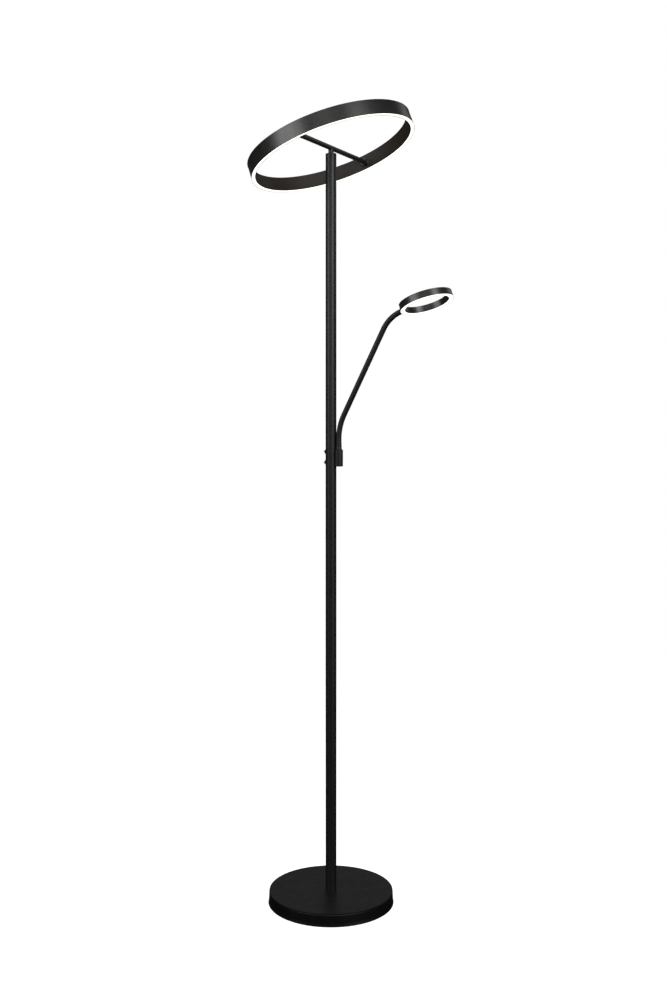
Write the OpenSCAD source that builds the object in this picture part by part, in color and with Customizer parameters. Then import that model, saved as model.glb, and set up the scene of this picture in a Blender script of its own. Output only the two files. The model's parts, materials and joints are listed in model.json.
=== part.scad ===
// Floor lamp with a large tilting ring head and a small reading ring on a
// flexible arm. All sizes are in millimetres.
//
// Origin: centre of the base's underside, +Z up. The crossbar that carries the
// large ring lies along Y, the reading arm reaches towards +X, the two switch
// levers face -X and the cord inlet faces +Y.

/* [Base] */
// Outer diameter of the base
base_d = 300; // [270:2:340]
// Height of the base above the floor
base_h = 30; // [29:1:34]
// Sheet thickness of the base shell
shell_wall = 2; // [1.5:0.5:2]
// Radius of the base's top edge
base_edge_r = 2.5; // [2.5:0.5:6]
// Gap between the shell's rim and the floor
rim_gap = 1; // [0.5:0.5:1.5]
// Thickness of the floor mat
mat_h = 2; // [1.5:0.5:3]
// Height of the cast weight's top above the floor
weight_top = 16; // [14:1:16]

/* [Pole] */
// Outer diameter of the pole
pole_d = 26; // [25:0.5:27]
// Wall thickness of the pole tubes
pole_wall = 1.5; // [1.3:0.1:1.5]
// Height of the pole's flat top above the floor
pole_top = 1794; // [1700:2:1900]
// Diameter of the neck stem above the pole
neck_d = 13; // [12.5:0.5:14]
// Height of the crossbar's axis above the pole's top
neck_rise = 14; // [13:0.5:30]

/* [Ring head] */
// Outer diameter of the large ring
ring_d = 410; // [360:2:440]
// Width of the large ring's profile
ring_w = 10; // [10:0.5:13]
// Height of the large ring's profile
ring_h = 36.5; // [33:0.5:40]
// Tilt of the large ring about the crossbar, +X side up
ring_tilt = 19.9; // [0:0.1:30]
// Diameter of the crossbar
crossbar_d = 12; // [10:0.5:12]
// Wall thickness of both rings' aluminium profiles
ring_wall = 1; // [0.8:0.1:1.2]
// Number of diodes in the large ring
ring_leds = 72; // [48:12:96]

/* [Reading arm] */
// Height of the socket's underside above the floor
socket_z = 1044; // [1030:1:1060]
// Outer diameter of the socket
socket_d = 20; // [19:0.5:21]
// Height of the socket
socket_h = 40; // [38:1:46]
// Diameter of the foot of the tapered collar on top of the socket
collar_d = 15; // [15:0.5:16]
// Height of the collar
collar_h = 20; // [18:1:30]
// Height of the flare at the foot of the collar
collar_flare_h = 5; // [3:0.5:8]
// Outer diameter of the flexible arm
arm_d = 13; // [12:0.5:13]
// Length of the straight neck on top of the collar
arm_lead = 4; // [4:0.5:14]
// Radius of the arm's lower bend
lower_bend_r = 130; // [96:1:140]
// Angle of the arm's lower bend
lower_bend = 27; // [24:0.2:32]
// Length of the arm between its bends
arm_run = 226; // [210:1:240]
// Radius of the arm's upper bend
upper_bend_r = 83; // [66:1:86]
// Angle of the arm's upper bend
upper_bend = 44; // [38:0.2:48]

/* [Reading ring] */
// Outer diameter of the reading ring
reader_d = 128; // [110:2:150]
// Width of the reading ring's profile
reader_w = 12; // [11.5:0.5:14]
// Height of the reading ring's profile
reader_h = 16.5; // [15:0.5:18]
// Roll of the reading ring about the line of the arm's end
reader_roll = -5.2; // [-8:0.2:8]
// Number of diodes in the reading ring
reader_leds = 24; // [12:6:36]

/* [Switches] */
// Height of the point midway between the two switches
switch_z = 1066; // [1066:1:1070]
// Distance between the two switches
switch_pitch = 25; // [22:0.5:26]
// Angle of a thrown lever above or below level
lever_throw = 22; // [15:1:30]
// Length of a lever from its pivot to the centre of its tip
lever_len = 3; // [2.5:0.5:6]

/* [Hidden] */

$fn = 64;
fine = 180;        // facets of the large rounds
cut = 1;           // how far a cutter runs past what it cuts
slip = 0.05;       // radial clearance of a running or push fit

// Base
base_r = base_d / 2;
mat_r = base_r - 5;
weight_r = base_r - shell_wall - 0.5;
stud_r = 8;
stud_bore_r = 4.5;
recess_r = 22;
web_h = 3;
recess_top = weight_top - web_h;
washer_h = 2;
nut_h = 6;
stud_bottom = mat_h + 2;
stud_top = base_h + 16;
spacer_r = 15;
window_w = 7;
window_top = base_h - 4;

// Cord inlet
gland_z = 22;
gland_bore_r = 2.9;
gland_neck_r = 4;
gland_flange_r = 5.5;
gland_flange_h = 1.8;
gland_gap = 0.4;      // between the shell's inner wall and the gland's shoulder

// Driver
driver_size = [90, 40, 17];
driver_y = 75;
driver_z = 9;
driver_tab = 10;
driver_tab_h = 1.5;
screw_r = 1.5;
screw_head_r = 3;

// Pole
pole_r = pole_d / 2;
pole_bore_r = pole_r - pole_wall;
plug_r = pole_bore_r - slip;
cap_rim = 3;
cap_spigot = 16;
tube_len = (pole_top - cap_rim - base_h) / 3;
joint_z = [base_h + tube_len, base_h + 2 * tube_len];
coupler_len = 40;
coupler_bore_r = 6;
plug_h = 22;
plug_bore_r = 5;

// Neck and crossbar
pivot_z = pole_top + neck_rise;
neck_thread_r = 5;
neck_bore_r = 3;
neck_nut_h = 6;
crossbar_r = crossbar_d / 2;
crossbar_bore_r = 3.5;

// Large ring, in its own frame with the crossbar's axis at the centre
ring_r = ring_d / 2;
ring_inner_r = ring_r - ring_w;
diffuser_h = 2;
web_z = -ring_h / 2 + 8.2;
strip_h = 1;
led_size = [2.8, 2.8, 0.9];
led_sink = 0.1;
boss_r = 8.5;
boss_len = 10;
boss_spigot_r = 6;
pin_r = 4;
pin_bore_r = 2;
pin_plug_len = 12;
pivot_washer_h = 1;
pin_step = ring_inner_r - boss_len - pivot_washer_h;
pin_end = ring_r - ring_wall - 3;
pivot_nut_h = 4;
pivot_nut_y = ring_inner_r + ring_wall + 0.5;

// Cables
supply_r = 2.5;
lead_r = 1.8;
arm_lead_r = 1.6;
supply_z = 20.5;
supply_bend_r = 8;
lead_bend_r = 5;
arm_lead_bend_r = 4;
arm_lead_x = 4.6;
splice_z = 1034;
splice_h = 12;
splice_r = 7;

// Socket, collar and arm
socket_r = socket_d / 2;
socket_bore_r = 5.5;
socket_floor = 4;
collar_r = collar_d / 2;
socket_x = pole_r + collar_r + 0.3;
socket_top = socket_z + socket_h;
saddle_w = 10;
nipple_z = socket_z + 10;
nipple_r = 4;
nipple_bore_r = 2.2;
socket_nut_h = 2.5;
socket_nut_x = pole_bore_r - 1.9 - socket_nut_h;
swivel_washer_h = 1;
collar_z = socket_top + swivel_washer_h;
collar_top = collar_z + collar_h;
collar_pin_z = socket_z + 18;
collar_pin_r = socket_bore_r - slip;
collar_bore_r = 3;
groove_r = 4.4;
groove_z = socket_z + 26;
groove_h = 4.2;
swivel_screw_r = 2;
arm_r = arm_d / 2;
collar_waist_r = arm_r + 0.4;

// Path of the arm, in the XZ plane. A lean is an angle from upright towards +X.
function heading(lean) = [sin(lean), 0, cos(lean)];
function side(lean) = [cos(lean), 0, -sin(lean)];
arm_lean = lower_bend + upper_bend;
lower_start = [socket_x, 0, collar_top + arm_lead];
run_start = lower_start + lower_bend_r * (side(0) - side(lower_bend));
upper_start = run_start + arm_run * heading(lower_bend);
arm_end = upper_start + upper_bend_r * (side(lower_bend) - side(arm_lean));

// Links of the arm
run_links = 4;
run_link = arm_run / run_links;
ball_r = arm_r - 0.1;
cup_r = arm_r + 0.25;
link_overrun = 1;

// Reading ring, in its own frame with its axis upright
reader_r = reader_d / 2;
reader_tilt = 90 - arm_lean;
reader_centre = arm_end + reader_r * heading(arm_lean);
reader_diffuser_h = 1.5;
reader_stud_r = 3;
reader_stud_bore_r = 1.2;
reader_stud_in = 4.5;
reader_nut_h = 2.8;

// Switches
switch_nut_r = 6;
switch_nut_h = 1.6;
switch_face = -pole_r - switch_nut_h;
switch_box = [7.4, 8, 13];
switch_box_face = 0.15 - sqrt(pow(pole_bore_r, 2) - pow(switch_box.y / 2, 2));
bushing_r = 3;
lever_pivot = switch_face - 0.3;
lever_ball_r = 2.3;
lever_tip_r = 1.5;
lever_root_r = 2;

// Where each switch is, and which way its lever is thrown
upper_switch_z = switch_z + switch_pitch / 2;
lower_switch_z = switch_z - switch_pitch / 2;

// Finishes
satin_black = "#2b2a2a";
base_black = "#1e1d1d";
zinc = "#b9bcbf";
iron = "#4a4a4c";
sleeve_black = "#1a1a1a";
diffuser_white = "#fbfaf5";
cable_grey = "#5b5b5f";
board_white = "#e8e8e2";

// ---- Shapes used more than once ----

module tube(outer_r, inner_r, z_from, z_to) {
    difference() {
        translate([0, 0, z_from]) cylinder(r = outer_r, h = z_to - z_from);
        translate([0, 0, z_from - cut]) cylinder(r = inner_r, h = z_to - z_from + 2 * cut);
    }
}

module rod(r, z_from, z_to) {
    translate([0, 0, z_from]) cylinder(r = r, h = z_to - z_from);
}

module rod_x(r, x_from, x_to) {
    translate([x_from, 0, 0]) rotate([0, 90, 0]) cylinder(r = r, h = x_to - x_from);
}

module rod_y(r, y_from, y_to) {
    translate([0, y_to, 0]) rotate([90, 0, 0]) cylinder(r = r, h = y_to - y_from);
}

module hex_prism(corner_r, h) {
    cylinder(r = corner_r, h = h, $fn = 6);
}

// Quarter bend of a round cable: from -Z travel to +Y travel about [0, r, 0]
module quarter_bend(bend_r, wire_r) {
    rotate([90, 0, 90]) rotate([0, 0, 180])
        rotate_extrude(angle = 90) translate([bend_r, 0]) circle(r = wire_r);
}

module ring_frame() {
    translate([0, 0, pivot_z]) rotate([0, -ring_tilt, 0]) children();
}

module reader_frame() {
    translate(reader_centre) rotate([0, -reader_tilt, 0]) rotate([reader_roll, 0, 0]) children();
}

module annulus(inner_r, outer_r, z_from, z_to) {
    rotate_extrude($fn = fine)
        translate([inner_r, z_from]) square([outer_r - inner_r, z_to - z_from]);
}

module led_row(count, r, z) {
    for (i = [0 : count - 1])
        rotate([0, 0, (i + 0.5) * 360 / count])
            translate([r, 0, z + led_size.z / 2]) cube(led_size, center = true);
}

module both_ends() {
    children();
    mirror([0, 1, 0]) children();
}

module switch_heights() {
    for (z = [lower_switch_z, upper_switch_z]) translate([0, 0, z]) children();
}

// ---- Base ----

module base_mat() {
    color(base_black) cylinder(r = mat_r, h = mat_h, $fn = fine);
}

module base_weight() {
    pocket = [driver_size.x + 4, driver_size.y + 4, weight_top];
    color(iron) difference() {
        translate([0, 0, mat_h]) cylinder(r = weight_r, h = weight_top - mat_h, $fn = fine);
        translate([0, 0, mat_h - cut]) cylinder(r = recess_r, h = recess_top - mat_h + cut);
        rod(stud_r + 0.3, mat_h, weight_top + cut);
        translate([-pocket.x / 2, driver_y - pocket.y / 2, driver_z]) cube(pocket);
        driver_screw_places() rod(screw_r, weight_top - 6, weight_top + cut);
    }
}

module shell_outline(r, h, edge) {
    square([r - edge, h]);
    square([r, h - edge]);
    translate([r - edge, h - edge]) circle(r = edge);
}

module base_shell() {
    color(base_black) difference() {
        rotate_extrude($fn = fine) difference() {
            shell_outline(base_r, base_h, base_edge_r);
            shell_outline(base_r - shell_wall, base_h - shell_wall, base_edge_r - shell_wall / 2);
            square([base_r + cut, rim_gap]);
        }
        rod(stud_r + 0.3, base_h - shell_wall - cut, base_h + cut);
        translate([0, 0, gland_z]) rod_y(gland_neck_r, base_r - 6, base_r + cut);
    }
}

module base_nut() {
    color(zinc) difference() {
        translate([0, 0, recess_top - washer_h - nut_h]) hex_prism(13.5, nut_h);
        rod(stud_r, mat_h, base_h);
    }
}

module base_washer() {
    color(zinc) tube(20, stud_r + 0.3, recess_top - washer_h, recess_top);
}

module cable_window() {
    translate([-window_w / 2, 0, weight_top + 1.5])
        cube([window_w, spacer_r + cut, window_top - weight_top - 1.5]);
}

module base_stud() {
    color(zinc) difference() {
        tube(stud_r, stud_bore_r, stud_bottom, stud_top);
        cable_window();
    }
}

module base_spacer() {
    color(zinc) difference() {
        tube(spacer_r, stud_r + 0.3, weight_top, base_h - shell_wall);
        cable_window();
    }
}

module cord_gland() {
    color(sleeve_black) difference() {
        union() {
            difference() {
                translate([0, 0, gland_z])
                    rod_y(gland_flange_r, base_r - 4, base_r + gland_flange_h);
                cylinder(r = base_r + 2 * slip, h = base_h, $fn = fine);
            }
            translate([0, 0, gland_z])
                rod_y(gland_neck_r - slip, base_r - 3.5, base_r + 1);
            intersection() {
                translate([0, 0, gland_z]) rod_y(gland_flange_r, base_r - 3.5, base_r);
                cylinder(r = base_r - shell_wall - gland_gap, h = base_h, $fn = fine);
            }
        }
        translate([0, 0, gland_z]) rod_y(gland_bore_r, base_r - 6, base_r + 6);
    }
}

module driver_screw_places() {
    for (end = [-1, 1])
        translate([end * (driver_size.x / 2 + driver_tab - 4), driver_y, 0]) children();
}

module led_driver() {
    tab_span = driver_size.x + 2 * driver_tab;
    color(board_white) difference() {
        union() {
            translate([-driver_size.x / 2, driver_y - driver_size.y / 2, driver_z])
                cube(driver_size);
            translate([-tab_span / 2, driver_y - 8, weight_top])
                cube([tab_span, 16, driver_tab_h]);
        }
        driver_screw_places() rod(screw_r, weight_top - cut, weight_top + 2 * cut + driver_tab_h);
    }
}

module driver_screws() {
    color(zinc) driver_screw_places() {
        rod(screw_r, weight_top - 5, weight_top + driver_tab_h);
        rod(screw_head_r, weight_top + driver_tab_h, weight_top + driver_tab_h + 2);
    }
}

// ---- Pole ----

module pole_foot_plug() {
    color(zinc) difference() {
        rod(plug_r, base_h, base_h + plug_h);
        rod(stud_r, base_h - cut, stud_top);
        rod(plug_bore_r, base_h, base_h + plug_h + cut);
    }
}

module pole_lower() {
    color(satin_black) tube(pole_r, pole_bore_r, base_h, joint_z[0]);
}

module pole_middle() {
    color(satin_black) difference() {
        tube(pole_r, pole_bore_r, joint_z[0], joint_z[1]);
        translate([0, 0, nipple_z]) rod_x(nipple_r, 0, pole_r + cut);
        switch_heights() rod_x(bushing_r, -pole_r - cut, 0);
    }
}

module pole_upper() {
    color(satin_black) tube(pole_r, pole_bore_r, joint_z[1], pole_top - cap_rim);
}

module pole_coupler(z) {
    color(zinc) tube(plug_r, coupler_bore_r, z - coupler_len / 2, z + coupler_len / 2);
}

module pole_coupler_lower() {
    pole_coupler(joint_z[0]);
}

module pole_coupler_upper() {
    pole_coupler(joint_z[1]);
}

module pole_top_cap() {
    color(satin_black) difference() {
        union() {
            rod(pole_r, pole_top - cap_rim, pole_top);
            rod(plug_r, pole_top - cap_rim - cap_spigot, pole_top - cap_rim);
        }
        rod(neck_thread_r, pole_top - cap_rim - cap_spigot - cut, pole_top + cut);
    }
}

// ---- Neck and crossbar ----

module neck_nut() {
    top = pole_top - cap_rim - cap_spigot;
    color(zinc) difference() {
        translate([0, 0, top - neck_nut_h]) hex_prism(9, neck_nut_h);
        rod(neck_thread_r, top - neck_nut_h - cut, top + cut);
    }
}

module neck_stem() {
    thread_end = pole_top - cap_rim - cap_spigot - neck_nut_h - 1;
    color(satin_black) difference() {
        union() {
            rod(neck_d / 2, pole_top, pivot_z);
            rod(neck_thread_r, thread_end, pole_top);
        }
        rod(neck_bore_r, thread_end - cut, pivot_z + cut);
        translate([0, 0, pivot_z]) rod_y(crossbar_r, -neck_d, neck_d);
    }
}

module crossbar() {
    color(satin_black) difference() {
        translate([0, 0, pivot_z]) rod_y(crossbar_r, -pin_step, pin_step);
        translate([0, 0, pivot_z]) rod_y(crossbar_bore_r, -pin_step - cut, pin_step + cut);
        rod(neck_bore_r, pivot_z - crossbar_r - cut, pivot_z);
    }
}

module pivot_pin() {
    color(zinc) translate([0, 0, pivot_z]) difference() {
        union() {
            rod_y(crossbar_bore_r - slip, pin_step - pin_plug_len, pin_step);
            rod_y(pin_r, pin_step, pin_end);
        }
        rod_y(pin_bore_r, pin_step - pin_plug_len - cut, pin_end + cut);
    }
}

module pivot_pin_far() {
    pivot_pin();
}

module pivot_pin_near() {
    mirror([0, 1, 0]) pivot_pin();
}

module pivot_nuts() {
    color(zinc) both_ends() translate([0, 0, pivot_z]) difference() {
        translate([0, pivot_nut_y + pivot_nut_h, 0]) rotate([90, 0, 0])
            hex_prism(6.5, pivot_nut_h);
        rod_y(pin_r, pivot_nut_y - cut, pivot_nut_y + pivot_nut_h + cut);
    }
}

module friction_washers() {
    color(sleeve_black) both_ends() translate([0, 0, pivot_z]) difference() {
        rod_y(7, pin_step, pin_step + pivot_washer_h);
        rod_y(pin_r + slip, pin_step - cut, pin_step + pivot_washer_h + cut);
    }
}

// ---- Cables inside the lamp ----

module supply_cable() {
    rise = supply_z + supply_bend_r;
    color(cable_grey) {
        translate([0, 0, supply_z])
            rod_y(supply_r, supply_bend_r, driver_y - driver_size.y / 2);
        translate([0, supply_bend_r, rise]) quarter_bend(supply_bend_r, supply_r);
        rod(supply_r, rise, splice_z);
    }
}

module wire_splice() {
    color(sleeve_black) rod(splice_r, splice_z, splice_z + splice_h);
}

module head_cable() {
    color(cable_grey) {
        rod(lead_r, splice_z + splice_h, pivot_z - lead_bend_r);
        translate([0, lead_bend_r, pivot_z - lead_bend_r]) mirror([0, 0, 1])
            quarter_bend(lead_bend_r, lead_r);
        translate([0, 0, pivot_z]) rod_y(lead_r, lead_bend_r, pin_end + 1);
    }
}

module arm_cable() {
    color(cable_grey) {
        translate([arm_lead_x, 0, 0])
            rod(arm_lead_r, splice_z + splice_h, nipple_z - arm_lead_bend_r);
        translate([arm_lead_x + arm_lead_bend_r, 0, nipple_z - arm_lead_bend_r])
            mirror([0, 0, 1]) rotate([0, 0, -90]) quarter_bend(arm_lead_bend_r, arm_lead_r);
        translate([0, 0, nipple_z])
            rod_x(arm_lead_r, arm_lead_x + arm_lead_bend_r, socket_x - arm_lead_bend_r);
        translate([socket_x - arm_lead_bend_r, 0, nipple_z + arm_lead_bend_r])
            rotate([0, 0, 90]) quarter_bend(arm_lead_bend_r, arm_lead_r);
        translate([socket_x, 0, 0])
            rod(arm_lead_r, nipple_z + arm_lead_bend_r, collar_top - 2);
    }
}

// ---- Switches ----

module switch_body(z) {
    color(sleeve_black)
        translate([switch_box_face, -switch_box.y / 2, z - switch_box.z / 2]) cube(switch_box);
}

module switch_body_upper() {
    switch_body(upper_switch_z);
}

module switch_body_lower() {
    switch_body(lower_switch_z);
}

module switch_bushing(z) {
    color(satin_black) translate([0, 0, z]) difference() {
        rod_x(bushing_r, switch_face, switch_box_face);
        translate([lever_pivot, 0, 0]) sphere(r = lever_ball_r + 0.1);
    }
}

module switch_bushing_upper() {
    switch_bushing(upper_switch_z);
}

module switch_bushing_lower() {
    switch_bushing(lower_switch_z);
}

module switch_nuts() {
    color(satin_black) switch_heights() difference() {
        translate([switch_face, 0, 0]) rotate([0, 90, 0])
            hex_prism(switch_nut_r, switch_nut_h);
        rod_x(bushing_r, switch_face - cut, -pole_r + cut);
    }
}

// Lever thrown up by throw degrees, or down if throw is negative
module switch_lever(z, throw) {
    color(satin_black) translate([lever_pivot, 0, z]) rotate([0, throw - 90, 0]) {
        sphere(r = lever_ball_r);
        cylinder(r1 = lever_root_r, r2 = lever_tip_r, h = lever_len);
        translate([0, 0, lever_len]) sphere(r = lever_tip_r);
    }
}

module switch_lever_upper() {
    switch_lever(upper_switch_z, lever_throw);
}

module switch_lever_lower() {
    switch_lever(lower_switch_z, -lever_throw);
}

// ---- Socket and swivel of the reading arm ----

module arm_socket() {
    color(satin_black) difference() {
        union() {
            translate([socket_x, 0, 0]) rod(socket_r, socket_z + 1, socket_top);
            translate([socket_x, 0, socket_z])
                cylinder(r1 = socket_r - 1, r2 = socket_r, h = 1);
            translate([0, -saddle_w / 2, socket_z + 2])
                cube([socket_x, saddle_w, socket_h - 6]);
        }
        rod(pole_r, socket_z - cut, socket_top + cut);
        translate([socket_x, 0, 0]) rod(socket_bore_r, socket_z + socket_floor, socket_top + cut);
        translate([0, 0, nipple_z]) rod_x(nipple_r, pole_r - cut, socket_x);
        translate([socket_x, 0, groove_z]) rod_y(swivel_screw_r, 0, socket_r + cut);
    }
}

module socket_nipple() {
    color(zinc) translate([0, 0, nipple_z]) difference() {
        rod_x(nipple_r, socket_nut_x, socket_x - socket_bore_r);
        rod_x(nipple_bore_r, socket_nut_x - cut, socket_x);
    }
}

module socket_nut() {
    color(zinc) translate([0, 0, nipple_z]) difference() {
        translate([socket_nut_x, 0, 0]) rotate([0, 90, 0]) hex_prism(6, socket_nut_h);
        rod_x(nipple_r, socket_nut_x - cut, socket_nut_x + socket_nut_h + cut);
    }
}

module swivel_screw() {
    color(sleeve_black) translate([socket_x, 0, groove_z]) difference() {
        rod_y(swivel_screw_r, groove_r + 0.15, socket_r - 0.3);
        translate([0, socket_r, 0]) rotate([90, 0, 0]) hex_prism(1.1, 2);
    }
}

module swivel_washer() {
    color(sleeve_black) translate([socket_x, 0, 0])
        tube(collar_r - 0.2, socket_bore_r + 0.2, socket_top, collar_z);
}

module arm_collar() {
    color(satin_black) translate([socket_x, 0, 0]) difference() {
        union() {
            rod(collar_pin_r, collar_pin_z, collar_z);
            translate([0, 0, collar_z])
                cylinder(r1 = collar_r, r2 = collar_waist_r, h = collar_flare_h);
            translate([0, 0, collar_z + collar_flare_h])
                cylinder(r1 = collar_waist_r, r2 = arm_r, h = collar_h - collar_flare_h);
            rod(arm_r, collar_top, collar_top + arm_lead);
        }
        rod(collar_bore_r, collar_pin_z - cut, collar_top + arm_lead + cut);
        tube(collar_pin_r + cut, groove_r, groove_z - groove_h / 2, groove_z + groove_h / 2);
    }
}

// ---- Flexible arm ----

// Frame at the end of a bend that starts upwards at the origin, towards +X
module past_bend(bend_r, angle) {
    translate([bend_r, 0, 0]) rotate([0, angle, 0]) translate([-bend_r, 0, 0]) children();
}

module run_frame() {
    translate(lower_start) past_bend(lower_bend_r, lower_bend) children();
}

module upper_frame() {
    run_frame() translate([0, 0, arm_run]) children();
}

// Curved link, with a cup on its near end and a ball on its far end if wanted
module bent_link(bend_r, angle, cup, ball) {
    difference() {
        union() {
            translate([bend_r, 0, 0]) rotate([90, 0, 0]) rotate([0, 0, 180 - angle])
                rotate_extrude(angle = angle, $fn = fine)
                    translate([bend_r, 0]) circle(r = arm_r, $fn = 48);
            if (ball) past_bend(bend_r, angle) sphere(r = ball_r);
        }
        if (cup) sphere(r = cup_r);
    }
}

// Straight link number k of the run between the two bends, counted from 0
module run_link(k) {
    color(sleeve_black) run_frame() translate([0, 0, k * run_link]) difference() {
        union() {
            cylinder(r = arm_r, h = run_link);
            translate([0, 0, run_link]) sphere(r = ball_r);
        }
        sphere(r = cup_r);
    }
}

module arm_link_1() {
    color(sleeve_black) translate(lower_start)
        bent_link(lower_bend_r, lower_bend, cup = false, ball = true);
}

module arm_link_2() {
    run_link(0);
}

module arm_link_3() {
    run_link(1);
}

module arm_link_4() {
    run_link(2);
}

module arm_link_5() {
    run_link(3);
}

module arm_link_6() {
    color(sleeve_black) upper_frame()
        bent_link(upper_bend_r, upper_bend / 2, cup = true, ball = true);
}

module arm_link_7() {
    angle = upper_bend / 2 + link_overrun / upper_bend_r * 180 / PI;
    color(sleeve_black) difference() {
        upper_frame() past_bend(upper_bend_r, upper_bend / 2)
            bent_link(upper_bend_r, angle, cup = true, ball = false);
        reader_frame() {
            cylinder(r = reader_r, h = 3 * arm_r, center = true, $fn = fine);
            rod_x(reader_stud_r, -reader_r - reader_stud_in, 0);
        }
    }
}

// ---- Large ring ----

// Profile with a closed box above its web and an open channel below it
module ring_profile() {
    hollow_w = ring_w - 2 * ring_wall;
    translate([ring_inner_r, -ring_h / 2]) difference() {
        square([ring_w, ring_h]);
        translate([ring_wall, -cut]) square([hollow_w, web_z + ring_h / 2 + cut]);
        translate([ring_wall, web_z + ring_h / 2 + ring_wall])
            square([hollow_w, ring_h / 2 - web_z - 2 * ring_wall]);
    }
}

module ring_housing() {
    color(satin_black) ring_frame() difference() {
        rotate_extrude($fn = fine) ring_profile();
        both_ends() rod_y(boss_spigot_r, ring_inner_r - cut, ring_inner_r + ring_wall + cut);
    }
}

module ring_led_strip() {
    color(board_white) ring_frame() {
        annulus(ring_inner_r + ring_wall + 0.2, ring_r - ring_wall - 0.2, web_z - strip_h, web_z);
        led_row(ring_leds, ring_r - ring_w / 2, web_z - strip_h + led_sink - led_size.z);
    }
}

module ring_diffuser() {
    color(diffuser_white) ring_frame()
        annulus(ring_inner_r + ring_wall + slip, ring_r - ring_wall - slip,
            -ring_h / 2, -ring_h / 2 + diffuser_h);
}

module ring_boss() {
    color(satin_black) ring_frame() difference() {
        union() {
            intersection() {
                rod_y(boss_r, ring_inner_r - boss_len, ring_inner_r + cut);
                cylinder(r = ring_inner_r, h = 4 * boss_r, center = true, $fn = fine);
            }
            rod_y(boss_spigot_r, ring_inner_r - 2, ring_inner_r + ring_wall);
        }
        rod_y(pin_r + slip, ring_inner_r - boss_len - cut, ring_inner_r + ring_wall + cut);
    }
}

module ring_boss_far() {
    ring_boss();
}

module ring_boss_near() {
    mirror([0, 1, 0]) ring_boss();
}

// ---- Reading ring ----

module reader_housing() {
    hollow_w = reader_w - 2 * ring_wall;
    color(satin_black) reader_frame() difference() {
        rotate_extrude($fn = fine) translate([reader_r - reader_w, -reader_h / 2]) difference() {
            square([reader_w, reader_h]);
            translate([ring_wall, -cut]) square([hollow_w, reader_h - ring_wall + cut]);
        }
        rod_x(reader_stud_r, -reader_r - cut, -reader_r + ring_wall + cut);
    }
}

module reader_led_strip() {
    strip_z = reader_h / 2 - ring_wall - strip_h;
    color(board_white) reader_frame() {
        annulus(reader_r - reader_w + ring_wall + 0.2, reader_r - ring_wall - 0.2,
            strip_z, strip_z + strip_h);
        led_row(reader_leds, reader_r - reader_w / 2, strip_z + led_sink - led_size.z);
    }
}

module reader_diffuser() {
    color(diffuser_white) reader_frame()
        annulus(reader_r - reader_w + ring_wall + slip, reader_r - ring_wall - slip,
            -reader_h / 2, -reader_h / 2 + reader_diffuser_h);
}

module reader_stud() {
    color(zinc) reader_frame() difference() {
        rod_x(reader_stud_r, -reader_r - reader_stud_in, -reader_r + 5);
        rod_x(reader_stud_bore_r, -reader_r - reader_stud_in - cut, -reader_r + 6);
    }
}

module reader_nut() {
    nut_x = -reader_r + ring_wall + 0.2;
    color(zinc) reader_frame() difference() {
        translate([nut_x, 0, 0]) rotate([0, 90, 0]) hex_prism(4.6, reader_nut_h);
        rod_x(reader_stud_r, nut_x - cut, nut_x + reader_nut_h + cut);
    }
}

base_mat();
base_weight();
base_shell();
base_nut();
base_washer();
base_stud();
base_spacer();
cord_gland();
led_driver();
driver_screws();
pole_foot_plug();
pole_lower();
pole_middle();
pole_upper();
pole_coupler_lower();
pole_coupler_upper();
pole_top_cap();
neck_nut();
neck_stem();
crossbar();
pivot_pin_near();
pivot_pin_far();
pivot_nuts();
friction_washers();
supply_cable();
wire_splice();
head_cable();
arm_cable();
switch_body_upper();
switch_body_lower();
switch_bushing_upper();
switch_bushing_lower();
switch_nuts();
switch_lever_upper();
switch_lever_lower();
arm_socket();
socket_nipple();
socket_nut();
swivel_screw();
swivel_washer();
arm_collar();
arm_link_1();
arm_link_2();
arm_link_3();
arm_link_4();
arm_link_5();
arm_link_6();
arm_link_7();
ring_housing();
ring_led_strip();
ring_diffuser();
ring_boss_near();
ring_boss_far();
reader_stud();
reader_nut();
reader_housing();
reader_led_strip();
reader_diffuser();
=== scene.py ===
"""Looks of the floor lamp with a large tilting ring and a reading ring on a flexible arm."""

import json
import math

import bmesh
import bpy
from mathutils import Matrix, Vector


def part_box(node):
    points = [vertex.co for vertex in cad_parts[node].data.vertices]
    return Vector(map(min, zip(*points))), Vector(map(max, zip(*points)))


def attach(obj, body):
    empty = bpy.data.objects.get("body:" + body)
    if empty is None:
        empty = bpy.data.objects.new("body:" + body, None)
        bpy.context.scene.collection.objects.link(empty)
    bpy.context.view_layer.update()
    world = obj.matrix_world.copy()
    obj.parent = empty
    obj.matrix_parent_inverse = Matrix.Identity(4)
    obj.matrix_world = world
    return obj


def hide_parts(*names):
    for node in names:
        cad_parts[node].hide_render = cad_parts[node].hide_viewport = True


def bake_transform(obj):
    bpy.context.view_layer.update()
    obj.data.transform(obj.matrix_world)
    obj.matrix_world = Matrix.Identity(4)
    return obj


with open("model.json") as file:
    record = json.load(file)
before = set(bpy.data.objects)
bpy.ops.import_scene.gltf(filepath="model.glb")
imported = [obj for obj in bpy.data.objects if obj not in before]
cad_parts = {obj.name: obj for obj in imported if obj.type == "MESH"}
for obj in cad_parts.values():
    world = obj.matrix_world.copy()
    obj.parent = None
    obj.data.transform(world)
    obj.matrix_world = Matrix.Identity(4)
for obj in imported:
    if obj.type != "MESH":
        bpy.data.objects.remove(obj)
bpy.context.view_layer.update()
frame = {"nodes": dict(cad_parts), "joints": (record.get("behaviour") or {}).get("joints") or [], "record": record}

MM = 0.001
JOINTS = {joint["name"]: Vector(joint["pos_m"]) for joint in frame["joints"]}

# ---- Sizes, in metres: from the frame, and a few driving dimensions that its boxes don't give ----

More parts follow.
